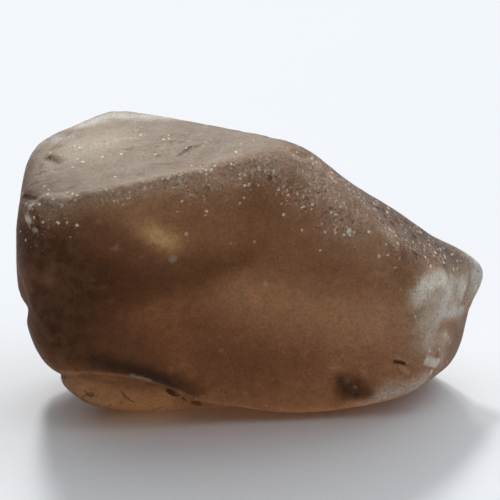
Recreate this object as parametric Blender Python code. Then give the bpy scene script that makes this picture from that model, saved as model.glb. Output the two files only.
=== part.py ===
"""A rough zircon pebble: one water-worn piece of crystal, resting on its flattest side.

The stone is worked out from its facets. Each facet is a plane at a stated distance from the heart of the
stone, and the edges between the planes are worn round. Two worn blocks that share one heart, the body and
the foot under its left end, make the whole stone. Knobs, creases and shallow waves are added, and the
underside is flat where the stone rests. Lengths are in millimetres until the mesh is built.
"""
import math
import bmesh
import bpy
import numpy as np
from mathutils import Vector

MM = 0.001
# How far the heart of the stone lies above the surface that it rests on.
HEART_HEIGHT = 3.9

# Facets: (compass heading it faces, tilt above the horizon, distance from the heart).
# Heading 0 faces the front (-Y), 90 the right (+X), 180 the back (+Y) and 270 the left (-X).
BODY_FACETS = {
    "top": (275, 79.5, 4.74),
    "top_left": (234, 46, 7.22),
    "front": (8, -5, 2.86),
    "front_left": (346, -4, 4.9),
    "left_corner": (312, -3, 7.2),
    "front_low": (5, -70, 4.38),
    "left_high": (266, 11, 7.3),
    "left_end": (269, -3, 7.2),
    "left_low": (277, -19, 7.0),
    "left_under": (284, -40, 6.6),
    "under_lip": (300, -75, 3.82),
    "shoulder": (87, 42.5, 4.61),
    "back_right_high": (150, 47, 3.68),
    "right_front": (58, 0, 5.4),
    "right_end": (95, -8, 6.95),
    "right_low": (78, -42, 6.7),
    "belly": (60, -64, 5.3),
    "belly_low": (30, -74, 4.5),
    "back_high": (138, 52, 3.55),
    "back": (176, 5, 4.1),
    "back_low": (188, -42, 4.6),
    "back_right": (140, -10, 5.7),
    "back_left": (214, -6, 5.1),
}
BODY_SHARPNESS = 22

FOOT_FACETS = {
    "left": (286, -42, 6.98),
    "front": (14, -32, 2.88),
    "front_left": (330, -32, 5.6),
    "front_high": (0, 42, 1.2),
    "sole": (315, -80, 4.48),
    "back": (190, -36, 4.0),
    "back_high": (190, 30, 2.0),
    "back_left": (250, -30, 5.7),
    "right": (60, -10, 0.9),
    "left_high": (270, 42, 2.6),
    "top": (0, 90, 1.5),
}
FOOT_SHARPNESS = 18

# How much of the reach is worn round at the rim of the flat underside.
RIM_ROUNDING = 0.1

# Shallow waves that the wear left on every facet: (heading and tilt they run along, length, height).
WAVES = {
    "along": (78, 8, 6.1, 0.025),
    "across": (20, 50, 4.7, 0.025),
    "deep": (160, -25, 3.7, 0.025),
}

# Knobs that stand proud: (heading, tilt, height, half width in degrees).
KNOBS = {
    "right_tip": (106, -5, 0.6, 7),
    "upper_left": (249, 24, 0.15, 7),
}

# Worn creases: (heading, tilt, slope in degrees, half length and half width in degrees, depth).
CREASES = {
    "left": (274, -8, -20, 24, 2.4, 0.24),
    "left_fork": (289, 5, 60, 10, 2.6, 0.12),
    "back": (206, -14, 32, 17, 4.0, 0.2),
}

# The ball that the stone's surface is worked out on: its half lengths along X, Y and Z only set how evenly
# its points spread over the stone.
BALL_SUBDIVISIONS = 6
BALL_SHAPE = (7.0, 4.2, 3.9)
# Rounds of smoothing along the worn edges.
WEAR_ROUNDS = 3
# The share of the ball's triangles that is kept: few on the flat facets, more along the edges.
KEPT_SHARE = 0.3

ZIRCON_COLOUR = (0.16, 0.075, 0.035, 1.0)
ZIRCON_ROUGHNESS = 0.5


def facing(heading, tilt):
    """The unit vector that points along a compass heading, tilted above the horizon."""
    flat = math.cos(math.radians(tilt))
    turn = math.radians(heading)
    return np.array([flat * math.sin(turn), -flat * math.cos(turn), math.sin(math.radians(tilt))])


def worn_block(directions, facets, sharpness):
    """How far the surface of a block of facets with worn edges lies from the heart, along each direction."""
    total = np.zeros(len(directions))
    for heading, tilt, distance in facets.values():
        towards = np.clip(directions @ facing(heading, tilt), 0, None)
        total += (towards / distance) ** sharpness
    return total ** (-1 / sharpness)


def knobs(directions):
    """The height that the knobs add along each direction."""
    total = np.zeros(len(directions))
    for heading, tilt, height, half_width in KNOBS.values():
        away = np.arccos(np.clip(directions @ facing(heading, tilt), -1, 1))
        total += height * np.exp(-((away / math.radians(half_width)) ** 2))
    return total


def creases(directions):
    """The depth that the worn creases take away along each direction."""
    total = np.zeros(len(directions))
    for heading, tilt, slope, half_length, half_width, depth in CREASES.values():
        middle = facing(heading, tilt)
        level = np.array([middle[1], -middle[0], 0]) / math.hypot(middle[0], middle[1])
        upright = np.cross(level, middle)
        along = math.cos(math.radians(slope)) * level + math.sin(math.radians(slope)) * upright
        across = np.cross(middle, along)
        reached = (directions @ along / math.sin(math.radians(half_length))) ** 2
        reached += (directions @ across / math.sin(math.radians(half_width))) ** 2
        total += depth * np.exp(-reached) * (directions @ middle > 0)
    return total


def waves(points):
    """The height that the shallow waves add at each point."""
    total = np.zeros(len(points))
    for heading, tilt, length, height in WAVES.values():
        total += height * np.sin(2 * math.pi / length * (points @ facing(heading, tilt)))
    return total


def rounded_cut(reach, cut):
    """The reach cut off at a plane, with the rim of the cut rounded over RIM_ROUNDING."""
    near = np.clip(RIM_ROUNDING - abs(reach - cut), 0, None)
    return np.minimum(reach, cut) - near ** 2 / (4 * RIM_ROUNDING)


def stone_reach(directions):
    """The distance from the heart to the stone's surface along each direction."""
    body = worn_block(directions, BODY_FACETS, BODY_SHARPNESS)
    foot = worn_block(directions, FOOT_FACETS, FOOT_SHARPNESS)
    reach = np.maximum(body, foot) + knobs(directions) - creases(directions)
    reach += waves(directions * reach[:, None])
    down = np.clip(-directions[:, 2], 1e-6, None)
    return rounded_cut(reach, HEART_HEIGHT / down)


def clear_scene():
    for old in list(bpy.data.objects):
        bpy.data.objects.remove(old)


def zircon_material():
    material = bpy.data.materials.new("zircon")
    material.use_nodes = True
    shader = material.node_tree.nodes["Principled BSDF"]
    shader.inputs["Base Color"].default_value = ZIRCON_COLOUR
    shader.inputs["Roughness"].default_value = ZIRCON_ROUGHNESS
    return material


def centred_points(directions):
    """The surface's points, moved so that the middle of the stone's underside is the origin."""
    points = directions * stone_reach(directions)[:, None]
    middle = (points.min(axis=0) + points.max(axis=0)) / 2
    middle[2] = -HEART_HEIGHT
    return points - middle


def build_stone(collection):
    bm = bmesh.new()
    bmesh.ops.create_icosphere(bm, subdivisions=BALL_SUBDIVISIONS, radius=1)
    directions = np.array([vert.co for vert in bm.verts]) * BALL_SHAPE
    directions /= np.linalg.norm(directions, axis=1)[:, None]
    for vert, point in zip(bm.verts, centred_points(directions)):
        vert.co = Vector(point) * MM
    mesh = bpy.data.meshes.new("zircon_pebble")
    bm.to_mesh(mesh)
    bm.free()
    mesh.shade_smooth()
    mesh.materials.append(zircon_material())
    stone = bpy.data.objects.new("zircon_pebble", mesh)
    collection.objects.link(stone)
    wear = stone.modifiers.new("worn edges", "SMOOTH")
    wear.iterations = WEAR_ROUNDS
    thin = stone.modifiers.new("fewer triangles on flat facets", "DECIMATE")
    thin.ratio = KEPT_SHARE
    return stone


def main():
    clear_scene()
    collection = bpy.data.collections.new("zircon_gemstone")
    bpy.context.scene.collection.children.link(collection)
    build_stone(collection)


main()
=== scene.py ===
"""The look of a rough zircon pebble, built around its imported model.

The stone is one dense mesh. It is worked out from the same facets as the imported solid, and the fine wear is
added to it: the lip over the foot, grooves, chips, dents, pits and frosting. Lengths are in millimetres until
the mesh is built, and in metres in its material. Places on the stone are named by the photograph's pixels and
carried onto its surface.
"""
import math

import bpy
import numpy as np
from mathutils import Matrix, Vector, noise
from mathutils.bvhtree import BVHTree
from mathutils.kdtree import KDTree


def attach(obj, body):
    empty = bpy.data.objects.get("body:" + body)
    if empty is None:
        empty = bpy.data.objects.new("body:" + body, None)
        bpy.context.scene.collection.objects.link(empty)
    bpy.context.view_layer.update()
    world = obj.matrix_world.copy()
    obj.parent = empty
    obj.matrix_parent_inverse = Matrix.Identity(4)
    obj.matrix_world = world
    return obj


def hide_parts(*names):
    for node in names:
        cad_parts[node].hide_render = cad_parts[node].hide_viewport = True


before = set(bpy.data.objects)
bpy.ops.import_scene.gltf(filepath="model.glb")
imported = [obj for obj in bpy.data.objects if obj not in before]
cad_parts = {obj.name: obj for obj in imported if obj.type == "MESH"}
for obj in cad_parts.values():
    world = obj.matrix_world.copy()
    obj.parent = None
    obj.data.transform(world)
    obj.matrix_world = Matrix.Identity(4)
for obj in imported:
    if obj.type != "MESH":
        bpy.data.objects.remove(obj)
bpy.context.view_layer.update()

MM = 0.001
NODE = "zircon_pebble"

# The stone's shape, with the same named values as its source.
# The heart is the point that the reaches are measured from. It lies this far above the surface underneath.
HEART_HEIGHT = 3.9

# Facets: (compass heading it faces, tilt above the horizon, distance from the heart).
# Heading 0 faces the front (-Y), 90 the right (+X), 180 the back (+Y) and 270 the left (-X).
# The higher a block's sharpness, the less worn are the edges between its facets.
BODY_FACETS = {
    "top": (275, 79.5, 4.74),
    "top_left": (234, 46, 7.22),
    "front": (8, -5, 2.86),
    "front_left": (346, -4, 4.9),
    "left_corner": (312, -3, 7.2),
    "front_low": (5, -70, 4.38),
    "left_high": (266, 11, 7.3),
    "left_end": (269, -3, 7.2),
    "left_low": (277, -19, 7.0),
    "left_under": (284, -40, 6.6),
    "under_lip": (300, -75, 3.82),
    "shoulder": (87, 42.5, 4.61),
    "back_right_high": (150, 47, 3.68),
    "right_front": (58, 0, 5.4),
    "right_end": (95, -8, 6.95),
    "right_low": (78, -42, 6.7),
    "belly": (60, -64, 5.3),
    "belly_low": (30, -74, 4.5),
    "back_high": (138, 52, 3.55),
    "back": (176, 5, 4.1),
    "back_low": (188, -42, 4.6),
    "back_right": (140, -10, 5.7),
    "back_left": (214, -6, 5.1),
}
BODY_SHARPNESS = 22

FOOT_FACETS = {
    "left": (286, -42, 6.98),
    "front": (14, -32, 2.88),
    "front_left": (330, -32, 5.6),
    "front_high": (0, 42, 1.2),
    "sole": (315, -80, 4.48),
    "back": (190, -36, 4.0),
    "back_high": (190, 30, 2.0),
    "back_left": (250, -30, 5.7),
    "right": (60, -10, 0.9),
    "left_high": (270, 42, 2.6),
    "top": (0, 90, 1.5),
}
FOOT_SHARPNESS = 18

# How much of the reach is worn round at the rim of the flat underside.
RIM_ROUNDING = 0.1

# Shallow waves that the wear left on every facet: (heading and tilt they run along, length, height).
WAVES = {
    "along": (78, 8, 6.1, 0.025),
    "across": (20, 50, 4.7, 0.025),
    "deep": (160, -25, 3.7, 0.025),
}

# Knobs that stand proud: (heading, tilt, height, half width in degrees).
KNOBS = {
    "right_tip": (106, -5, 0.6, 7),
    "upper_left": (249, 24, 0.15, 7),
}

# Worn creases: (heading, tilt, slope in degrees, half length and half width in degrees, depth).
CREASES = {
    "left": (274, -8, -20, 24, 2.4, 0.24),
    "left_fork": (289, 5, 60, 10, 2.6, 0.12),
    "back": (206, -14, 32, 17, 4.0, 0.2),
}

# The ball that the surface is worked out on: its half lengths, and the cuts along each side of its six grids.
BALL_SHAPE = (7.0, 4.2, 3.9)
BALL_CUTS = 125

# The camera: where the photograph's frame lies on the stone.
PHOTO_SIZE = 500
PIXELS_PER_MM = 33.2
HEART_PIXEL = (250, 273)
ELEVATION = 20
LENS = 1000
SENSOR = 36

# Ridges that are worn rounder than the rest: (half width in mm, the pixels that they run through).
SOFT_RIDGES = {
    "front_ridge_end": (0.9, [(225, 166), (250, 161), (285, 152)]),
    "right_ridge": (0.5, [(300, 160), (345, 200), (395, 240), (412, 252)]),
}

# Grooves and rises on the surface: (half width and depth or height in mm, the pixels that they run through).
GROOVES = {
    "under_lip": (0.11, 0.15, [
        (63, 375), (84, 376), (104, 377), (124, 379), (142, 383), (160, 388), (182, 396)]),
    "foot_top": (0.16, 0.18, [(84, 380), (104, 383), (124, 386), (142, 389), (160, 394), (182, 401)]),
    "lip_notch": (0.10, 0.16, [(180, 397), (196, 402), (211, 405)]),
    "left_crease": (0.12, 0.14, [(33, 305), (37, 295), (43, 284)]),
    "left_crack": (0.08, 0.08, [(24, 205), (40, 204), (60, 209)]),
    "corner_chip": (0.16, 0.14, [(24, 197), (35, 199)]),
    "top_chip": (0.12, 0.12, [(48, 157), (57, 162)]),
    "fleck_slit": (0.09, 0.14, [(395, 361), (403, 363)]),
    "fleck_chip": (0.13, 0.08, [(399, 366), (408, 374)]),
    "ridge_chip": (0.22, 0.06, [(196, 188), (208, 190), (222, 186)]),
    "crown_chips": (0.30, 0.06, [(255, 175), (268, 180), (284, 176)]),
    "top_scratch": (0.09, 0.07, [(180, 156), (186, 151), (196, 146)]),
    "top_line": (0.05, 0.04, [(151, 165), (165, 165), (178, 164)]),
    "top_oval": (0.07, 0.04, [(60, 192), (66, 190), (71, 187)]),
    "tip_rim": (0.12, 0.07, [(471, 262), (473, 275), (470, 289), (465, 302)]),
    "bump_rim": (0.14, 0.06, [(36, 170), (44, 153), (54, 142), (66, 133)]),
}
RISES = {
    "front_ridge": (0.42, 0.095, [
        (30, 207), (60, 204), (91, 198), (120, 192), (150, 185), (200, 174), (225, 168)]),
    "lip_edge": (0.13, 0.07, [
        (58, 368), (84, 371), (104, 372), (124, 374), (142, 377), (160, 382), (190, 393)]),
    "foot_swell": (0.35, 0.08, [(95, 399), (130, 401), (150, 402)]),
}

# Where the surface is coarser, with more crumbs and pits: (share, half width in mm, the pixels).
SPECKLED = {
    "front_ridge": (0.7, 0.26, [(36, 207), (62, 205), (95, 202), (130, 192), (175, 180), (215, 172)]),
    "crown": (1.25, 0.7, [(190, 188), (225, 185), (262, 172), (285, 178)]),
    "upper_right": (1.4, 0.8, [(295, 185), (320, 205), (345, 225)]),
    "right_ridge": (1.1, 0.3, [(345, 205), (372, 228), (400, 248)]),
    "left_corner": (0.8, 0.8, [(30, 205), (38, 230), (50, 215)]),
    "milk_border": (0.9, 0.3, [(418, 278), (419, 290), (424, 300)]),
    "top_field": (0.55, 1.0, [(90, 158), (140, 150), (200, 142)]),
}
# Where it is calmer, in the same way.
CALM = {
    "left_low": (0.9, 1.5, [(55, 290), (85, 310), (120, 345), (70, 350)]),
    "front": (0.3, 1.5, [(200, 300), (260, 320), (330, 300)]),
}
# Whole facets that are coarser or smoother than the rest: (share, heading, tilt, turn). The turn is how far
# the surface may face away from the facet, in degrees, before it no longer counts as part of it.
COARSE_FACETS = {
    "shoulder": (1.05, 87, 43, 30),
    "back_right_high": (0.5, 148, 50, 20),
    "left_end": (0.45, 275, -8, 25),
    "back_low": (0.6, 195, -42, 22),
}
SMOOTH_FACETS = {
    "top": (1.0, 275, 79.5, 28),
}
# The dark left side is duller than the rest, and the foot has threads in it: (half width in mm, the pixels).
DULL_SIDE = (1.5, [(30, 230), (50, 270), (84, 280), (50, 330)])
THREADED_FOOT = (0.75, [(80, 396), (120, 400), (170, 404)])
# How much coarser the worn edges are, and the least and most that counts in all.
EDGE_COARSENESS = 0.5
COARSE_LIMITS = (-1, 1.4)

# The zircon's own colour, brown, and those of its zones, marks and fine wear.
COLOURS = {
    "brown": (0.40, 0.19, 0.092),
    "smoke": (0.050, 0.014, 0.005),
    "purple": (0.155, 0.058, 0.03),
    "ink": (0.012, 0.007, 0.006),
    # Painted glow: the light gathered inside the stone, as a bright, clearer amber.
    "amber": (1.0, 0.78, 0.34),
    "tan": (0.62, 0.36, 0.19),
    "rose": (0.85, 0.52, 0.36),
    "rust": (0.42, 0.175, 0.055),
    "honey": (1.0, 0.62, 0.26),
    # Painted glow: the brightest core of the light gathered inside the stone.
    "gold": (1.0, 0.68, 0.30),
    # Pale dust, and also painted highlight along the lip's edge and painted sheen along the front ridge.
    "dust_and_sheen": (0.86, 0.60, 0.46),
    # Painted sheen: a paler, cooler tint that stands in for the light the top facet catches.
    "painted_sheen": (0.60, 0.86, 0.94),
    # Milky cloud and flakes, and also painted highlights on the right ridge and the lip, painted glints, and
    # painted sheen on the top facet.
    "milk_and_highlight": (0.97, 0.90, 0.76),
    # Cloudy mist, and also painted sheen on the front ridge and left corner and painted back light on the
    # thin top rim.
    "mist_and_sheen": (0.80, 0.80, 0.74),
    "glass": (0.97, 0.97, 0.92),
    "crumb": (0.96, 0.84, 0.66),
    "worn": (0.62, 0.52, 0.42),
    "pit": (0.03, 0.014, 0.008),
    "thread": (0.09, 0.02, 0.008),
}
# How much clearer or cloudier some colours are than the rest.
CLEARING = {
    "milk_and_highlight": -0.5, "mist_and_sheen": -0.5, "ink": -0.5, "gold": -0.45, "dust_and_sheen": -0.45, "painted_sheen": -0.3, "amber": 0.13,
}
# Zones of colour that fade into each other: (colour, strength, half width in mm, the pixels).
ZONES = {
    # Painted shade: the left end, turned away from the light, is darkened.
    "left_shade": ("smoke", 0.97, 1.4, [(38, 242), (72, 256), (98, 274), (74, 296), (54, 316)]),
    "left_red": ("rust", 0.35, 0.55, [(62, 222), (84, 230), (104, 246)]),
    "middle_band": ("smoke", 0.62, 0.6, [(95, 292), (150, 284), (200, 270), (238, 262)]),
    "right_band": ("purple", 0.3, 0.4, [(320, 270), (360, 276), (400, 282)]),
    "low_left": ("smoke", 0.4, 1.0, [(80, 330), (110, 330), (150, 350)]),
    "low_shade": ("purple", 0.5, 0.9, [(190, 330), (225, 345), (250, 358)]),
    # Painted shade: the dark band just above the lip, where the overhanging body lets no light through.
    "lip_shade": ("smoke", 0.85, 0.36, [(62, 348), (95, 361), (130, 369), (165, 380), (190, 391)]),
    "low_middle": ("purple", 0.6, 0.75, [(215, 358), (255, 364), (305, 360)]),
    # Painted shade: the darkest core of the band above the lip.
    "lip_shade_core": ("ink", 0.6, 0.2, [(96, 361), (120, 366), (150, 374), (174, 385)]),
    # Painted highlight: a pale line along the lip's edge.
    "lip_edge": ("dust_and_sheen", 0.6, 0.09, [
        (64, 371), (84, 373), (104, 374), (124, 376), (142, 380), (160, 385), (190, 396)]),
    "glow_shade": ("purple", 0.65, 0.38, [(92, 226), (118, 244), (146, 260), (180, 268)]),
    # Painted glow: the next three zones paint the light gathered inside the stone as bright amber and gold.
    "glow_tail": ("amber", 0.4, 0.45, [(112, 204), (132, 216), (150, 228)]),
    "glow": ("amber", 1.0, 0.42, [(146, 226), (158, 234), (172, 242)]),
    "glow_core": ("gold", 1.0, 0.24, [(152, 231), (165, 240)]),
    "upper_tan": ("tan", 0.5, 0.9, [(160, 205), (205, 205), (225, 235)]),
    "streak": ("tan", 1.0, 0.8, [(245, 290), (285, 300), (330, 315), (385, 310)]),
    "lower_amber": ("rust", 0.5, 0.5, [(150, 315), (165, 330), (176, 345)]),
    "crown_light": ("rose", 0.9, 0.7, [(225, 178), (262, 168), (300, 172), (322, 188)]),
    "upper_rose": ("rose", 1.0, 1.2, [(316, 190), (345, 218), (385, 248)]),
    "lower_rose": ("rose", 0.45, 0.9, [(375, 330), (400, 345)]),
    "bottom_rim": ("rose", 1.0, 0.45, [(365, 402), (385, 394), (415, 382), (440, 368)]),
    "bottom_veil": ("mist_and_sheen", 0.95, 0.36, [(372, 399), (400, 391), (424, 381)]),
    "inclusion": ("smoke", 1.0, 0.3, [(345, 381), (348, 392), (364, 392), (356, 386)]),
    "inclusion_heart": ("ink", 0.6, 0.18, [(342, 380), (346, 390), (356, 394)]),
    # Painted highlight: a pale line along the right ridge.
    "ridge_highlight": ("milk_and_highlight", 0.45, 0.22, [(255, 160), (300, 164), (345, 200), (380, 228), (412, 250)]),
    # Painted sheen: the next four zones pale the band along the front ridge, where the top facet's lit look
    # runs over the rounded edge.
    "ridge_sheen": ("mist_and_sheen", 0.45, 0.3, [(38, 206), (66, 202), (95, 196), (130, 188), (165, 180), (205, 170)]),
    "ridge_rose": ("dust_and_sheen", 0.32, 0.42, [(90, 206), (130, 198), (165, 192), (205, 188)]),
    "ridge_tan": ("tan", 0.4, 0.42, [(142, 198), (170, 192), (208, 190)]),
    "ridge_lift": ("dust_and_sheen", 0.45, 0.26, [(134, 192), (165, 186), (210, 176)]),
    "crown_milk": ("milk_and_highlight", 0.55, 0.35, [(262, 158), (290, 155), (314, 165)]),
    "shoulder_shade": ("smoke", 0.5, 0.5, [(418, 230), (445, 249), (458, 262)]),
    "crown_veil": ("dust_and_sheen", 0.85, 0.5, [(222, 171), (255, 164), (290, 158), (316, 170), (330, 184)]),
    # Painted sheen: the top facet's lit look carried on to the left corner.
    "corner_sheen": ("mist_and_sheen", 0.55, 0.38, [(28, 214), (30, 199), (52, 198), (66, 198), (50, 213)]),
    "upper_veil": ("dust_and_sheen", 0.5, 0.6, [(330, 188), (345, 208), (352, 228)]),
    "brow_shade": ("purple", 0.75, 0.38, [(408, 250), (428, 254), (448, 258), (462, 266)]),
    # Painted light: top_edge pales the thin top rim where the back light shines through it, and top_left
    # pales the top facet where it catches the light.
    "top_edge": ("mist_and_sheen", 0.95, 0.45, [(84, 124), (110, 116), (140, 116), (170, 118)]),
    "top_left": ("milk_and_highlight", 0.6, 1.1, [(80, 150), (110, 140)]),
    "foot_honey": ("honey", 0.9, 0.8, [(85, 392), (120, 400), (160, 404)]),
    "right_warm": ("rose", 0.8, 0.9, [(432, 270), (436, 300), (436, 350)]),
}
# Whole facets with a tint of their own: (colour, strength, heading, tilt, turn).
FACET_TINTS = {
    # Painted sheen: the top facet is tinted paler where it catches the light.
    "top": ("painted_sheen", 0.40, 275, 79.5, 40),
    "shoulder": ("purple", 0.45, 87, 43, 24),
}
# Zones of the hidden sides: (colour, strength, half width in mm, the headings and tilts that they run along).
FAR_ZONES = {
    "tip": ("glass", 1.0, 0.8, [(103, -4), (110, -6), (116, -8)]),
    "right_end": ("mist_and_sheen", 0.45, 0.9, [(84, 4), (96, -2), (88, -14)]),
    "bump": ("glass", 0.9, 0.6, [(246, 26), (238, 28)]),
    "back_band": ("purple", 0.75, 0.7, [(142, 22), (165, 5), (190, -8), (212, -14)]),
    "back_smoke": ("smoke", 0.5, 1.1, [(225, -12), (245, -18), (258, -12)]),
    # Painted glow on the far side, as a brighter, clearer amber patch.
    "back_glow": ("amber", 0.8, 0.5, [(172, 24), (184, 16)]),
    "back_tan": ("tan", 0.8, 0.8, [(150, -16), (168, -26), (190, -34)]),
    "back_veil": ("rose", 0.6, 0.9, [(128, 18), (132, 0)]),
    "left_rust": ("rust", 0.6, 0.7, [(262, 8), (270, -2)]),
    "under_rust": ("rust", 0.6, 0.9, [(75, -55), (110, -62), (150, -60)]),
}
# Small sharp marks, drawn by the material: (colour, strength, half width in mm, relief, the pixels of its
# ends). The relief is 1 for a mark that stands proud, -1 for a hollow and 0 for a flat one.
MARKS = {
    "high_flake": ("milk_and_highlight", 0.9, 0.08, 1, [(349, 231)]),
    "high_flake_side": ("milk_and_highlight", 0.8, 0.05, 1, [(344, 235)]),
    "high_stain": ("rust", 0.8, 0.06, -1, [(353, 222)]),
    "far_flake": ("milk_and_highlight", 0.9, 0.06, 1, [(379, 256)]),
    "far_flake_low": ("milk_and_highlight", 0.8, 0.05, 1, [(395, 268)]),
    "low_spot": ("mist_and_sheen", 0.75, 0.15, 0, [(427, 361), (437, 363)]),
    "low_spot_tail": ("mist_and_sheen", 0.8, 0.09, 0, [(431, 372)]),
    "fleck": ("dust_and_sheen", 0.75, 0.08, -1, [(400, 367), (408, 374)]),
    "fleck_slit": ("ink", 0.95, 0.06, -1, [(395, 361), (404, 363)]),
    "flake_high": ("mist_and_sheen", 0.6, 0.12, 0, [(30, 206)]),
    "flake_middle": ("milk_and_highlight", 0.7, 0.15, 1, [(28, 219)]),
    "flake_low": ("mist_and_sheen", 0.5, 0.10, 0, [(35, 230)]),
    "corner_chip": ("smoke", 0.9, 0.07, -1, [(24, 196), (35, 199)]),
    "top_stain": ("rust", 0.9, 0.07, -1, [(50, 158)]),
    "top_scratch": ("purple", 0.85, 0.045, -1, [(180, 155), (191, 147)]),
    "top_scratch_side": ("milk_and_highlight", 0.8, 0.04, 1, [(184, 155), (190, 151)]),
    "glint_left": ("milk_and_highlight", 0.9, 0.05, 1, [(74, 146)]),
    "glint_middle": ("milk_and_highlight", 0.9, 0.06, 1, [(115, 177)]),
    "glow_fleck": ("milk_and_highlight", 0.7, 0.06, 1, [(186, 234)]),
    "pale_fleck": ("mist_and_sheen", 0.4, 0.09, 0, [(265, 284)]),
    "band_fleck": ("mist_and_sheen", 0.35, 0.12, 0, [(173, 259)]),
    "ridge_hollow": ("ink", 0.6, 0.09, -1, [(207, 189)]),
    "crown_hollow": ("ink", 0.6, 0.10, -1, [(270, 178)]),
    # Painted highlight on the lip's edge.
    "lip_highlight": ("milk_and_highlight", 0.35, 0.07, 1, [(132, 376), (150, 381)]),
    "slit": ("ink", 0.95, 0.11, -1, [(169, 392), (179, 396)]),
    "slit_tail": ("smoke", 0.8, 0.06, -1, [(183, 398), (200, 404)]),
    "foot_dark": ("smoke", 0.8, 0.10, -1, [(90, 395)]),
    "foot_thread": ("smoke", 0.7, 0.04, 0, [(121, 391), (126, 397)]),
    "foot_thread_low": ("smoke", 0.7, 0.04, 0, [(126, 397), (133, 402)]),
}
# Marks of these colours are cloudy.
PALE = ("milk_and_highlight", "mist_and_sheen")
# Patches with a border: (colour, strength, half width in mm, the pixels).
PATCHES = {
    "right_veil": ("mist_and_sheen", 0.7, 0.7, [(424, 296), (440, 292), (446, 308), (427, 320), (428, 338)]),
    "right_milk": ("milk_and_highlight", 0.9, 0.33, [(418, 297), (423, 288), (432, 281), (444, 278)]),
    "right_grey": ("mist_and_sheen", 0.7, 0.26, [(452, 281), (446, 300), (440, 318), (462, 310)]),
    "right_notch": ("brown", 0.75, 0.14, [(455, 286), (457, 296), (459, 304)]),
    "right_brown": ("brown", 0.7, 0.2, [(442, 325), (451, 324), (456, 330)]),
    "right_pale": ("milk_and_highlight", 0.5, 0.12, [(446, 334), (450, 342)]),
    "right_low": ("mist_and_sheen", 0.45, 0.25, [(443, 336), (444, 348), (442, 358)]),
    "left_mist": ("mist_and_sheen", 0.35, 0.22, [(52, 270), (46, 285)]),
    "tip": ("mist_and_sheen", 0.8, 0.6, [(478, 264), (482, 274), (478, 290)]),
    "tip_rim": ("purple", 0.45, 0.12, [(469, 262), (471, 276), (468, 290), (463, 303)]),
    "bump": ("glass", 1.0, 0.35, [(30, 158), (34, 148), (44, 140), (57, 132)]),
}

# How many rounds of averaging wear the soft ridges round.
SOFT_ROUNDS = 45
# A worn edge stands proud of the surface averaged around it: the rounds of that averaging, the rounds that
# even out the result, and how far a full edge stands proud.
BULGE_REACH = 2
BULGE_ROUNDS = 3
EDGE_BULGE = 0.012
# How steeply a facet fades at its worn edges, and the rounds that even it out.
FACET_FADE = 1.5
FACET_ROUNDS = 10

# The height of the lumps, and of those that roughen the worn edges.
LUMP_HEIGHT = 0.025
EDGE_ROUGHNESS = 0.035
# Lumps, of height and of colour: (about how long they are, seed).
LUMPS = {
    "swells": (1.6, 1),
    "small_swells": (0.6, 2),
    "edges": (0.35, 3),
    "borders": (0.9, 4),
    "fine_borders": (0.25, 5),
    "drift": (2.2, 6),
    "small_drift": (0.8, 7),
}
SEED_STEP = (17.3, 5.1, 11.7)

# Small round pits. The least share is that of the shallowest in the full depth. The even share is the chance
# of a pit away from the worn edges, and a full edge adds 1 to it.
PIT_SEED = 5
PIT_COUNT = 700
PIT_RADII = (0.09, 0.2)
PIT_DEPTH = 0.05
PIT_LEAST_SHARE = 0.4
PIT_EVEN_SHARE = 0.12
# Shallow dents on the sides that face away from the camera.
DENT_SEED = 11
DENT_COUNT = 60
DENT_RADII = (0.3, 0.9)
DENT_DEPTH = 0.07
DENT_MARGIN = 0.1
DENT_SLOPE = 1.5
# The flat underside has none of this wear, which is whole only this far above it.
FLAT_MARGIN = 0.3

# How ragged the borders of all zones are, and how much fine and broad lumps add to that of a patch. A patch
# starts where its share passes the start, and is whole where it is a fade further on.
ZONE_WOBBLE = 0.3
PATCH_WOBBLE = (0.25, 0.15)
PATCH_START = 0.15
PATCH_FADE = 0.7
# How far the body colour drifts on the front and on the far side, where the far side lies, and how strongly
# red, green and blue take part. The small lumps of the drift have half its strength.
FRONT_DRIFT = 0.12
FAR_DRIFT = 0.9
FAR_HEADING = (180, 20)
FAR_MARGIN = 0.3
DRIFT_TINT = (0.8, 1.0, 1.15)

# The zircon's material. Its noises: (lumps per metre, detail, roughness).
NOISES = {
    "grain": (12000, 4.0, 0.7),
    "mottle": (2600, 4.0, 0.6),
    "swarm": (1300, 3.0, 0.5),
    "fine_crumbs": (11000, 2.0, 0.7),
    "pits": (8300, 2.0, 0.7),
    "threads": (1900, 2.0, 0.6),
    "threaded_spots": (900, 1.0, 0.5),
}
# How one value is read as another: (from low, from high, to low, to high).
READINGS = {
    "swarm": (0.35, 0.7, -0.06, 0.04),
    "fine_crumb": (0.665, 0.75, 0.0, 1.0),
    "pit": (0.69, 0.76, 0.0, 1.0),
    "pit_share": (0.0, 0.5, 0.35, 1.0),
    "crumb_radius": (0.0, 1.0, 0.17, 0.5),
    "crumb_rim": (0.0, 0.06, 0.0, 1.0),
    "crumb_share": (-0.2, 1.2, -0.09, 0.44),
    "crumb_drawn": (0.94, 0.98, 0.0, 1.0),
    "grain_shade": (0.3, 0.7, 0.6, 1.4),
    "mottle_shade": (0.3, 0.7, 0.8, 1.2),
    "thread": (0.02, 0.045, 1.0, 0.0),
    "threaded_spot": (0.45, 0.55, 0.0, 1.0),
    "worn": (0.42, 0.62, 0.0, 0.4),
    "roughness": (0.3, 0.7, 0.43, 0.61),
    "tooth": (0.0, 1.0, 1.0, 0.4),
}
# Bumps: (height in metres, strength).
BUMPS = {
    "grain": (0.00009, 0.8),
    "mottle": (0.0001, 0.5),
    "marks": (0.00006, 0.8),
    "crumbs_and_pits": (0.00005, 0.7),
}
# How much thicker fine crumbs lie where the surface is coarse, and by how much pits stay behind them.
COARSE_SWARM = 0.11
COARSE_PIT_LAG = 0.03
# The larger crumbs lie in cells, so many per metre. The higher their slope, the fewer of them are large.
CRUMB_CELLS = 7000
CRUMB_SLOPE = 1.8
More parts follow.
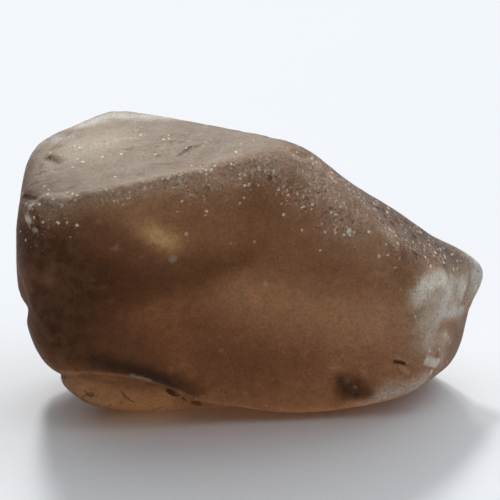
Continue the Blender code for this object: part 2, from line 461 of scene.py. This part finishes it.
# How far in metres, and how finely, the outlines of crumbs and marks are ragged, and how softly a mark ends.
RAGGED = 0.00012
RAGGED_SCALE = 9000
MARK_FADE = 0.3
# How strongly the fine wear colours the skin, how much crumbs and pale marks cloud it, and how much rougher
# the dull side is.
FINE_CRUMB_STRENGTH = 0.6
CRUMB_STRENGTH = 0.85
PIT_STRENGTH = 0.6
THREAD_STRENGTH = 0.85
CLOUDING = 0.8
DULL_ROUGHNESS = 0.3
# How see-through the skin is, the zircon's refraction, the skin's sheen, and what the crystal absorbs.
CLEARNESS = 0.88
ZIRCON_IOR = 1.9
SKIN_TINT = (0.35, 0.25, 0.14, 1)
DEPTH_COLOUR = (0.6, 0.37, 0.14, 1)
DEPTH_DENSITY = 70.0

# The floor lies a hair below the stone, in metres.
FLOOR_SIZE = 2.0
FLOOR_GAP = 0.00002
FLOOR_COLOUR = (0.86, 0.88, 0.895, 1)
FLOOR_ROUGHNESS = 0.6

# The studio is brightest along one direction, behind and above the stone, and dim in front of it.
BRIGHT_SIDE = (0.42, 0.73, 0.54)
BRIGHT_FADE = (-0.2, 0.9)
WORLD_FRONT = 0.03
WORLD_BACK = 1.2
WORLD_TINT = (0.93, 0.96, 1.0, 1)
# Lights: (the heading and tilt that they shine from, strength, how wide they are in degrees).
LIGHTS = {
    "window": (190, 41, 1.0, 8),
    "softbox": (184, 30, 0.4, 8),
}


def facing(heading, tilt):
    """The unit vector that points along a compass heading, tilted above the horizon."""
    flat = math.cos(math.radians(tilt))
    turn = math.radians(heading)
    return np.array([flat * math.sin(turn), -flat * math.cos(turn), math.sin(math.radians(tilt))])


def worn_block(directions, facets, sharpness):
    """How far the surface of a block of facets with worn edges lies from the heart, along each direction."""
    total = np.zeros(len(directions))
    for heading, tilt, distance in facets.values():
        towards = np.clip(directions @ facing(heading, tilt), 0, None)
        total += (towards / distance) ** sharpness
    return total ** (-1 / sharpness)


def knobs(directions):
    """The height that the knobs add along each direction."""
    total = np.zeros(len(directions))
    for heading, tilt, height, half_width in KNOBS.values():
        away = np.arccos(np.clip(directions @ facing(heading, tilt), -1, 1))
        total += height * np.exp(-((away / math.radians(half_width)) ** 2))
    return total


def creases(directions):
    """The depth that the worn creases take away along each direction."""
    total = np.zeros(len(directions))
    for heading, tilt, slope, half_length, half_width, depth in CREASES.values():
        middle = facing(heading, tilt)
        level = np.array([middle[1], -middle[0], 0]) / math.hypot(middle[0], middle[1])
        upright = np.cross(level, middle)
        along = math.cos(math.radians(slope)) * level + math.sin(math.radians(slope)) * upright
        across = np.cross(middle, along)
        reached = (directions @ along / math.sin(math.radians(half_length))) ** 2
        reached += (directions @ across / math.sin(math.radians(half_width))) ** 2
        total += depth * np.exp(-reached) * (directions @ middle > 0)
    return total


def waves(points):
    """The height that the shallow waves add at each point."""
    total = np.zeros(len(points))
    for heading, tilt, length, height in WAVES.values():
        total += height * np.sin(2 * math.pi / length * (points @ facing(heading, tilt)))
    return total


def rounded_cut(reach, cut):
    """The reach cut off at a plane, with the rim of the cut rounded over RIM_ROUNDING."""
    near = np.clip(RIM_ROUNDING - abs(reach - cut), 0, None)
    return np.minimum(reach, cut) - near ** 2 / (4 * RIM_ROUNDING)


def stone_reach(directions):
    """The distance from the heart to the stone's surface along each direction."""
    body = worn_block(directions, BODY_FACETS, BODY_SHARPNESS)
    foot = worn_block(directions, FOOT_FACETS, FOOT_SHARPNESS)
    reach = np.maximum(body, foot) + knobs(directions) - creases(directions)
    reach += waves(directions * reach[:, None])
    down = np.clip(-directions[:, 2], 1e-6, None)
    return rounded_cut(reach, HEART_HEIGHT / down)


def ball_grid(cuts):
    """The points and quads of a cube whose faces are cut into a grid and blown up to a ball."""
    steps = np.tan(np.linspace(-1, 1, cuts + 1) * math.pi / 4)
    index = {}
    points = []
    quads = []
    for axis in range(3):
        for side in (-1, 1):
            u, v = (axis + 1) % 3, (axis + 2) % 3
            ids = np.empty((cuts + 1, cuts + 1), int)
            for i in range(cuts + 1):
                for j in range(cuts + 1):
                    key = [0, 0, 0]
                    key[axis] = cuts if side > 0 else 0
                    key[u], key[v] = i, j
                    key = tuple(key)
                    if key not in index:
                        index[key] = len(points)
                        points.append([steps[k] for k in key])
                    ids[i, j] = index[key]
            a, b, c, d = ids[:-1, :-1], ids[1:, :-1], ids[1:, 1:], ids[:-1, 1:]
            order = (a, b, c, d) if side > 0 else (a, d, c, b)
            quads.append(np.stack([q.ravel() for q in order], axis=1))
    return np.array(points), np.concatenate(quads)


def stone_surface():
    """The points and quads of the worn stone in mm, and where its heart lies."""
    directions, quads = ball_grid(BALL_CUTS)
    directions = directions * BALL_SHAPE
    directions /= np.linalg.norm(directions, axis=1)[:, None]
    points = directions * stone_reach(directions)[:, None]
    middle = (points.min(axis=0) + points.max(axis=0)) / 2
    middle[2] = -HEART_HEIGHT
    return points - middle, quads, -middle


WORN_POINTS, QUADS, HEART = stone_surface()
EDGES = np.concatenate([QUADS[:, [0, 1]], QUADS[:, [1, 2]], QUADS[:, [2, 3]], QUADS[:, [3, 0]]])
NEIGHBOURS = np.bincount(EDGES.ravel(), minlength=len(WORN_POINTS))
TREE = BVHTree.FromPolygons(WORN_POINTS.tolist(), QUADS.tolist())

# The camera looks along the photograph's line of sight.
RIGHT = np.array([1.0, 0, 0])
BACK = facing(0, ELEVATION)
UP = np.cross(BACK, RIGHT)
EYE_DISTANCE = PHOTO_SIZE / PIXELS_PER_MM * LENS / SENSOR


def photo_point(px, py):
    """The point of the photograph's plane, through the heart, that a pixel shows."""
    across = (px - HEART_PIXEL[0]) / PIXELS_PER_MM
    down = (py - HEART_PIXEL[1]) / PIXELS_PER_MM
    return HEART + RIGHT * across - UP * down


EYE = photo_point(PHOTO_SIZE / 2, PHOTO_SIZE / 2) + BACK * EYE_DISTANCE


def on_stone(px, py, tree=TREE):
    """The point of the stone that a pixel shows, or the nearest to its line of sight."""
    target = photo_point(px, py)
    hit = tree.ray_cast(Vector(EYE), Vector(target - EYE).normalized())[0]
    if hit is None:
        hit = tree.find_nearest(Vector(target))[0]
    return np.array(hit)


def far_side(headings):
    """The points of the stone that lie along the headings and tilts."""
    directions = np.array([facing(*pair) for pair in headings])
    return HEART + directions * stone_reach(directions)[:, None]


def away_from_line(points, places):
    """How far each point lies from a line through several places, in mm."""
    nearest = np.full(len(points), np.inf)
    for start, end in zip(places, places[1:]):
        run = end - start
        share = np.clip((points - start) @ run / (run @ run), 0, 1)
        nearest = np.minimum(nearest, np.linalg.norm(points - start - share[:, None] * run, axis=1))
    return nearest


def away_from(points, pixels):
    """How far each point lies from the line that runs through the pixels on the stone, in mm."""
    return away_from_line(points, [on_stone(*pixel) for pixel in pixels])


def fading(away, half_width, wobble=1, power=2):
    """A share that falls from 1 on a line to about a third at its half width, and on to nothing."""
    return np.exp(-((away / half_width * wobble) ** power))


def spread(values, rounds):
    """The values averaged with their neighbours', round after round."""
    for _ in range(rounds):
        total = np.bincount(EDGES[:, 0], values[EDGES[:, 1]], minlength=len(values))
        total += np.bincount(EDGES[:, 1], values[EDGES[:, 0]], minlength=len(values))
        values = total / NEIGHBOURS
    return values


def smoothed(points, rounds):
    """The points averaged with their neighbours, round after round."""
    return np.stack([spread(points[:, axis], rounds) for axis in range(3)], axis=1)


def softened(points):
    """The points with the soft ridges worn rounder."""
    smooth = smoothed(points, SOFT_ROUNDS)
    for half_width, pixels in SOFT_RIDGES.values():
        share = fading(away_from(points, pixels), half_width)[:, None]
        points = points * (1 - share) + smooth * share
    return points


def normals_of(points):
    """The direction that the surface faces at each point."""
    corners = points[QUADS]
    faces = np.cross(corners[:, 2] - corners[:, 0], corners[:, 3] - corners[:, 1])
    normals = np.zeros_like(points)
    for corner in range(4):
        for axis in range(3):
            normals[:, axis] += np.bincount(QUADS[:, corner], faces[:, axis], minlength=len(points))
    return normals / np.linalg.norm(normals, axis=1)[:, None]


POINTS = softened(WORN_POINTS)
NORMALS = normals_of(POINTS)


def lumps(name):
    """Smooth noise over the stone, from about -1 to 1."""
    length, seed = LUMPS[name]
    offset = Vector([seed * step for step in SEED_STEP])
    return np.array([noise.noise(Vector(point) / length + offset) for point in POINTS])


def on_facet(heading, tilt, turn):
    """How much each point belongs to a facet, fading at the facet's worn edges."""
    lowest = math.cos(math.radians(turn))
    share = (NORMALS @ facing(heading, tilt) - lowest) / (1 - lowest) * FACET_FADE
    return spread(np.clip(share, 0, 1), FACET_ROUNDS)


def worn_edges():
    """How much each point belongs to a worn edge."""
    proud = np.einsum("ij,ij->i", POINTS - smoothed(POINTS, BULGE_REACH), NORMALS)
    return np.clip(spread(proud, BULGE_ROUNDS) / EDGE_BULGE, 0, 1)


def pits(edge):
    """The depth of the small round pits at each point, more of them along the worn edges."""
    draw = np.random.default_rng(PIT_SEED)
    tree = KDTree(len(POINTS))
    for index, point in enumerate(POINTS):
        tree.insert(point, index)
    tree.balance()
    chance = edge + PIT_EVEN_SHARE
    depth = np.zeros(len(POINTS))
    for middle in draw.choice(len(POINTS), PIT_COUNT, p=chance / chance.sum()):
        radius = draw.uniform(*PIT_RADII)
        deepest = PIT_DEPTH * draw.uniform(PIT_LEAST_SHARE, 1)
        for _, index, distance in tree.find_range(POINTS[middle], radius):
            depth[index] = max(depth[index], deepest * (1 - (distance / radius) ** 2))
    return depth


def dents():
    """The depth of the shallow worn dents at each point, on the sides away from the front."""
    draw = np.random.default_rng(DENT_SEED)
    chance = np.clip(DENT_MARGIN - NORMALS @ facing(0, ELEVATION), 0, 1)
    depth = np.zeros(len(POINTS))
    for middle in draw.choice(len(POINTS), DENT_COUNT, p=chance / chance.sum()):
        radius = draw.uniform(*DENT_RADII)
        share = np.linalg.norm(POINTS - POINTS[middle], axis=1) / radius
        bowl = np.clip(1 - share ** 2, 0, 1) ** DENT_SLOPE
        depth = np.maximum(depth, DENT_DEPTH * radius / DENT_RADII[1] * bowl)
    return depth


def dressed_points(edge):
    """The worn surface with its lumps, grooves, rises, pits and dents."""
    rise = LUMP_HEIGHT * lumps("swells") + LUMP_HEIGHT / 2 * lumps("small_swells")
    rise += EDGE_ROUGHNESS * edge * lumps("edges")
    for half_width, depth, pixels in GROOVES.values():
        rise -= depth * fading(away_from(POINTS, pixels), half_width)
    for half_width, height, pixels in RISES.values():
        rise += height * fading(away_from(POINTS, pixels), half_width)
    rise -= pits(edge) + dents()
    # The flat underside stays as it is.
    lift = np.clip(POINTS[:, 2] / FLAT_MARGIN, 0, 1)
    points = POINTS + NORMALS * (rise * lift)[:, None]
    points[:, 2] = np.clip(points[:, 2], 0, None)
    return points


def body_drift():
    """How far the body colour drifts at each point, most of all on the sides away from the front."""
    far = np.clip(FAR_MARGIN + NORMALS @ facing(*FAR_HEADING), 0, 1)
    return (FRONT_DRIFT + (FAR_DRIFT - FRONT_DRIFT) * far) * (lumps("drift") + 0.5 * lumps("small_drift"))


def zone_colours():
    """The stone's colour and clearness at each point."""
    broad, fine = lumps("borders"), lumps("fine_borders")
    wobble = 1 + ZONE_WOBBLE * (broad + fine)
    fine_wobble, broad_wobble = PATCH_WOBBLE
    colours = np.array(COLOURS["brown"]) * np.exp(body_drift()[:, None] * DRIFT_TINT)
    clear = np.full(len(POINTS), 1.0)

    def paint(name, share):
        nonlocal colours, clear
        colours = colours ** (1 - share[:, None]) * np.array(COLOURS[name]) ** share[:, None]
        clear = clear * (1 + CLEARING.get(name, 0) * share)

    for name, strength, heading, tilt, turn in FACET_TINTS.values():
        paint(name, strength * on_facet(heading, tilt, turn))
    for name, strength, half_width, headings in FAR_ZONES.values():
        paint(name, strength * fading(away_from_line(POINTS, far_side(headings)), half_width, wobble))
    for name, strength, half_width, pixels in ZONES.values():
        paint(name, strength * fading(away_from(POINTS, pixels), half_width, wobble))
    for name, strength, half_width, pixels in PATCHES.values():
        share = fading(away_from(POINTS, pixels), half_width, wobble)
        share = (share + fine_wobble * fine + broad_wobble * broad - PATCH_START) / PATCH_FADE
        paint(name, strength * np.clip(share, 0, 1))
    return colours, clear


def coarseness(edge):
    """How coarse the surface is at each point, with 0 for the plain frosting."""
    coarse = np.zeros(len(POINTS))
    for share, half_width, pixels in SPECKLED.values():
        coarse = np.maximum(coarse, share * fading(away_from(POINTS, pixels), half_width))
    for share, heading, tilt, turn in COARSE_FACETS.values():
        coarse = np.maximum(coarse, share * on_facet(heading, tilt, turn))
    coarse += EDGE_COARSENESS * edge
    for share, half_width, pixels in CALM.values():
        coarse -= share * fading(away_from(POINTS, pixels), half_width)
    return np.clip(coarse, *COARSE_LIMITS)


def smoothness():
    """How much smoother than the plain frosting the surface is at each point."""
    smooth = np.zeros(len(POINTS))
    for share, heading, tilt, turn in SMOOTH_FACETS.values():
        smooth = np.maximum(smooth, share * on_facet(heading, tilt, turn))
    return smooth


EDGE = worn_edges()
DRESSED = dressed_points(EDGE)
DRESSED_TREE = BVHTree.FromPolygons(DRESSED.tolist(), QUADS.tolist())


def store(mesh, name, values):
    """Keeps one number for each point of the mesh."""
    layer = mesh.attributes.new(name, "FLOAT", "POINT")
    layer.data.foreach_set("value", values.astype(np.float32))


def stone_mesh():
    """The dressed surface in metres, with what its material reads at each point."""
    mesh = bpy.data.meshes.new("zircon")
    mesh.from_pydata((DRESSED * MM).tolist(), [], QUADS.tolist())
    mesh.shade_smooth()
    colours, clear = zone_colours()
    layer = mesh.attributes.new("zone_colour", "FLOAT_COLOR", "POINT")
    opaque = np.column_stack([colours, np.ones(len(colours))])
    layer.data.foreach_set("color", opaque.astype(np.float32).ravel())
    store(mesh, "clear", clear)
    store(mesh, "edge", EDGE)
    half_width, pixels = DULL_SIDE
    store(mesh, "dull", fading(away_from(POINTS, pixels), half_width))
    store(mesh, "coarse", coarseness(EDGE))
    store(mesh, "smooth", smoothness())
    half_width, pixels = THREADED_FOOT
    store(mesh, "foot", fading(away_from(POINTS, pixels), half_width, power=4))
    return mesh


def new_material(name):
    """A new material and its shader."""
    material = bpy.data.materials.new(name)
    material.use_nodes = True
    return material, material.node_tree.nodes["Principled BSDF"]


class Nodes:
    """Short calls that add nodes to one tree."""

    def __init__(self, tree):
        self.tree = tree

    def put(self, node, socket, value):
        """Links or sets one input of a node. None leaves it as it is."""
        if isinstance(value, bpy.types.NodeSocket):
            self.tree.links.new(value, node.inputs[socket])
        elif value is not None:
            node.inputs[socket].default_value = value

    def add(self, kind, inputs=None, **settings):
        node = self.tree.nodes.new(kind)
        for key, value in settings.items():
            setattr(node, key, value)
        for socket, value in (inputs or {}).items():
            self.put(node, socket, value)
        return node

    def math(self, operation, a, b=None, clamp=False):
        return self.add("ShaderNodeMath", {0: a, 1: b}, operation=operation, use_clamp=clamp).outputs[0]

    def vector(self, operation, a, b=None, scale=None):
        node = self.add("ShaderNodeVectorMath", {0: a, 1: b, "Scale": scale}, operation=operation)
        return node.outputs["Value" if operation in ("DOT_PRODUCT", "LENGTH") else "Vector"]

    def fit(self, value, low, high, new_low, new_high):
        """The value moved from one range to another, and kept inside it."""
        inputs = {"Value": value, "From Min": low, "From Max": high, "To Min": new_low, "To Max": new_high}
        return self.add("ShaderNodeMapRange", inputs).outputs["Result"]

    def blend(self, share, a, b, kind="MIX"):
        """Colour b over colour a. A colour mix has its colours in sockets 6 and 7, and its result in 2."""
        return self.add("ShaderNodeMix", {0: share, 6: a, 7: b}, data_type="RGBA", blend_type=kind).outputs[2]


class SkinNodes(Nodes):
    """Short calls for the stone's skin, with a place that wobbles, for ragged outlines."""

    def __init__(self, tree):
        super().__init__(tree)
        self.place = self.add("ShaderNodeTexCoord").outputs["Object"]
        inputs = {"Vector": self.place, "Scale": RAGGED_SCALE, "Detail": 2.0}
        wobble = self.add("ShaderNodeTexNoise", inputs).outputs["Color"]
        wobble = self.vector("SUBTRACT", wobble, (0.5, 0.5, 0.5))
        self.ragged = self.vector("ADD", self.place, self.vector("SCALE", wobble, scale=RAGGED))

    def attribute(self, name, output="Fac"):
        return self.add("ShaderNodeAttribute", attribute_name=name).outputs[output]

    def noise(self, name):
        per_metre, detail, roughness = NOISES[name]
        inputs = {"Vector": self.place, "Scale": per_metre, "Detail": detail, "Roughness": roughness}
        return self.add("ShaderNodeTexNoise", inputs).outputs["Fac"]

    def read(self, name, value):
        return self.fit(value, *READINGS[name])

    def stain(self, share, colour, name):
        """The colour with a named one laid over it."""
        return self.blend(share, colour, (*COLOURS[name], 1))

    def mark(self, ends, half_width, strength):
        """The strength at a place of the stone or on the line between two, fading out past the half width."""
        first, last = ends[0], ends[-1]
        away = self.vector("SUBTRACT", self.ragged, tuple(first))
        if len(ends) > 1:
            run = last - first
            share = self.vector("DOT_PRODUCT", away, tuple(run / (run @ run)))
            share = self.math("MULTIPLY", share, 1.0, clamp=True)
            away = self.vector("SUBTRACT", away, self.vector("SCALE", tuple(run), scale=share))
        inner, outer = half_width * (1 - MARK_FADE), half_width * (1 + MARK_FADE)
        return self.fit(self.vector("LENGTH", away), inner, outer, strength, 0.0)

    def bump(self, name, height, tooth=None, normal=None):
        """A named bump over the one before. The tooth is how much of its strength is left."""
        distance, strength = BUMPS[name]
        if tooth is not None:
            strength = self.math("MULTIPLY", tooth, strength)
        inputs = {"Height": height, "Distance": distance, "Strength": strength, "Normal": normal}
        return self.add("ShaderNodeBump", inputs).outputs["Normal"]


def crumbs_and_pits(nodes):
    """How much each place belongs to a bright crumb and to a dark pit."""
    coarse = nodes.attribute("coarse")
    # The highest crests of one fine noise are fine crumbs, and those of another are pits.
    swarm = nodes.read("swarm", nodes.noise("swarm"))
    swarm = nodes.math("ADD", swarm, nodes.math("MULTIPLY", coarse, COARSE_SWARM))
    fine = nodes.read("fine_crumb", nodes.math("ADD", nodes.noise("fine_crumbs"), swarm))
    hollows = nodes.math("SUBTRACT", swarm, nodes.math("MULTIPLY", coarse, COARSE_PIT_LAG))
    pit = nodes.read("pit", nodes.math("ADD", nodes.noise("pits"), hollows))
    pit = nodes.math("MULTIPLY", pit, nodes.read("pit_share", coarse))
    # Each cell draws whether it holds a crumb, more often where the surface is coarse, and how large it is.
    cells = nodes.add("ShaderNodeTexVoronoi", {"Vector": nodes.ragged, "Scale": CRUMB_CELLS})
    draw = nodes.add("ShaderNodeSeparateColor", {"Color": cells.outputs["Color"]}).outputs
    radius = nodes.read("crumb_radius", nodes.math("POWER", draw["Red"], CRUMB_SLOPE))
    inside = nodes.read("crumb_rim", nodes.math("SUBTRACT", radius, cells.outputs["Distance"]))
    chance = nodes.math("ADD", draw["Green"], nodes.read("crumb_share", coarse))
    crumb = nodes.math("MULTIPLY", inside, nodes.read("crumb_drawn", chance))
    crumb = nodes.math("MAXIMUM", nodes.math("MULTIPLY", fine, FINE_CRUMB_STRENGTH), crumb)
    return crumb, pit


def grained_colour(nodes, grain, mottle):
    """The colours of the zones, lighter and darker with the grain, and with red-brown threads in the foot."""
    shade = nodes.math("MULTIPLY", nodes.read("grain_shade", grain), nodes.read("mottle_shade", mottle))
    grey = nodes.add("ShaderNodeCombineColor", {"Red": shade, "Green": shade, "Blue": shade}).outputs[0]
    colour = nodes.blend(1.0, nodes.attribute("zone_colour", "Color"), grey, "MULTIPLY")
    # A thread runs where a noise crosses its middle.
    thread = nodes.math("ABSOLUTE", nodes.math("SUBTRACT", nodes.noise("threads"), 0.5))
    spots = nodes.read("threaded_spot", nodes.noise("threaded_spots"))
    thread = nodes.math("MULTIPLY", nodes.read("thread", thread), spots)
    thread = nodes.math("MULTIPLY", thread, nodes.attribute("foot"))
    return nodes.stain(nodes.math("MULTIPLY", thread, THREAD_STRENGTH), colour, "thread")


def placed_marks(nodes):
    """The colour name and the mask of each placed mark, how much they cover, and their relief."""
    marks = []
    cover = 0.0
    relief = 0.0
    for name, strength, half_width, height, pixels in MARKS.values():
        ends = [on_stone(*pixel, DRESSED_TREE) * MM for pixel in pixels]
        mask = nodes.mark(ends, half_width * MM, strength)
        marks.append((name, mask))
        if name in PALE:
            cover = nodes.math("ADD", cover, mask)
        if height:
            relief = nodes.math("ADD", relief, nodes.math("MULTIPLY", mask, height))
    return marks, cover, relief


def zircon_material():
    """Frosted brown crystal: see-through under a grained skin, and darker the deeper the light goes."""
    material, shader = new_material("zircon")
    nodes = SkinNodes(material.node_tree)
    grain, mottle = nodes.noise("grain"), nodes.noise("mottle")
    crumb, pit = crumbs_and_pits(nodes)
    marks, cover, relief = placed_marks(nodes)

    # Worn edges and crumbs are paler, and pits are darker.
    colour = grained_colour(nodes, grain, mottle)
    worn = nodes.math("MULTIPLY", nodes.attribute("edge"), nodes.read("worn", mottle))
    colour = nodes.stain(worn, colour, "worn")
    colour = nodes.stain(nodes.math("MULTIPLY", pit, PIT_STRENGTH), colour, "pit")
    colour = nodes.stain(nodes.math("MULTIPLY", crumb, CRUMB_STRENGTH), colour, "crumb")
    for name, mask in marks:
        colour = nodes.stain(mask, colour, name)
    nodes.put(shader, "Base Color", colour)

    clearness = nodes.math("MULTIPLY", nodes.attribute("clear"), CLEARNESS)
    cover = nodes.math("MULTIPLY", nodes.math("ADD", cover, crumb), CLOUDING)
    nodes.put(shader, "Transmission Weight", nodes.math("SUBTRACT", clearness, cover, clamp=True))
    dull = nodes.math("MULTIPLY", nodes.attribute("dull"), DULL_ROUGHNESS)
    nodes.put(shader, "Roughness", nodes.math("ADD", nodes.read("roughness", mottle), dull))
    nodes.put(shader, "IOR", ZIRCON_IOR)
    nodes.put(shader, "Specular Tint", SKIN_TINT)

    tooth = nodes.read("tooth", nodes.attribute("smooth"))
    normal = nodes.bump("grain", grain, tooth)
    normal = nodes.bump("mottle", mottle, tooth, normal)
    normal = nodes.bump("marks", relief, normal=normal)
    normal = nodes.bump("crumbs_and_pits", nodes.math("SUBTRACT", crumb, pit), normal=normal)
    nodes.put(shader, "Normal", normal)

    depth = nodes.add("ShaderNodeVolumeAbsorption", {"Color": DEPTH_COLOUR, "Density": DEPTH_DENSITY})
    nodes.put(material.node_tree.nodes["Material Output"], "Volume", depth.outputs[0])
    return material


def in_scene(name, data):
    """A new object, linked to the scene."""
    thing = bpy.data.objects.new(name, data)
    bpy.context.scene.collection.objects.link(thing)
    return thing


def turn_back(thing, direction):
    """Turns a light or camera so that its back faces along a direction."""
    thing.rotation_mode = "QUATERNION"
    thing.rotation_quaternion = Vector(direction).to_track_quat("Z", "Y")


def pale_floor():
    """A wide pale floor under the stone."""
    half = FLOOR_SIZE / 2
    mesh = bpy.data.meshes.new("floor")
    corners = [(-half, -half, 0), (half, -half, 0), (half, half, 0), (-half, half, 0)]
    mesh.from_pydata(corners, [], [(0, 1, 2, 3)])
    material, shader = new_material("floor")
    shader.inputs["Base Color"].default_value = FLOOR_COLOUR
    shader.inputs["Roughness"].default_value = FLOOR_ROUGHNESS
    mesh.materials.append(material)
    floor = in_scene("floor", mesh)
    floor.location.z = -FLOOR_GAP
    return floor


def light_studio():
    """Gives the scene its world and its lights."""
    world = bpy.data.worlds.new("studio")
    world.use_nodes = True
    nodes = Nodes(world.node_tree)
    direction = nodes.add("ShaderNodeTexCoord").outputs["Generated"]
    towards = nodes.vector("DOT_PRODUCT", direction, BRIGHT_SIDE)
    brightness = nodes.fit(towards, *BRIGHT_FADE, WORLD_FRONT, WORLD_BACK)
    sky = world.node_tree.nodes["Background"]
    nodes.put(sky, "Color", nodes.blend(1.0, WORLD_TINT, brightness, "MULTIPLY"))
    nodes.put(sky, "Strength", 1.0)
    bpy.context.scene.world = world
    for name, (heading, tilt, strength, width) in LIGHTS.items():
        light = bpy.data.lights.new(name, "SUN")
        light.energy = strength
        light.angle = math.radians(width)
        turn_back(in_scene(name, light), facing(heading, tilt))


def place_camera():
    """Sets the camera to the photograph's frame and angle."""
    data = bpy.data.cameras.new("camera")
    data.lens = LENS
    data.sensor_width = SENSOR
    data.clip_start = MM
    camera = in_scene("camera", data)
    camera.location = Vector(EYE) * MM
    turn_back(camera, BACK)
    bpy.context.scene.camera = camera
    bpy.context.scene.view_settings.view_transform = "Standard"


stone = in_scene("zircon", stone_mesh())
stone.data.materials.append(zircon_material())
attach(stone, "root")
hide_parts(NODE)

floor = pale_floor()
light_studio()
place_camera()
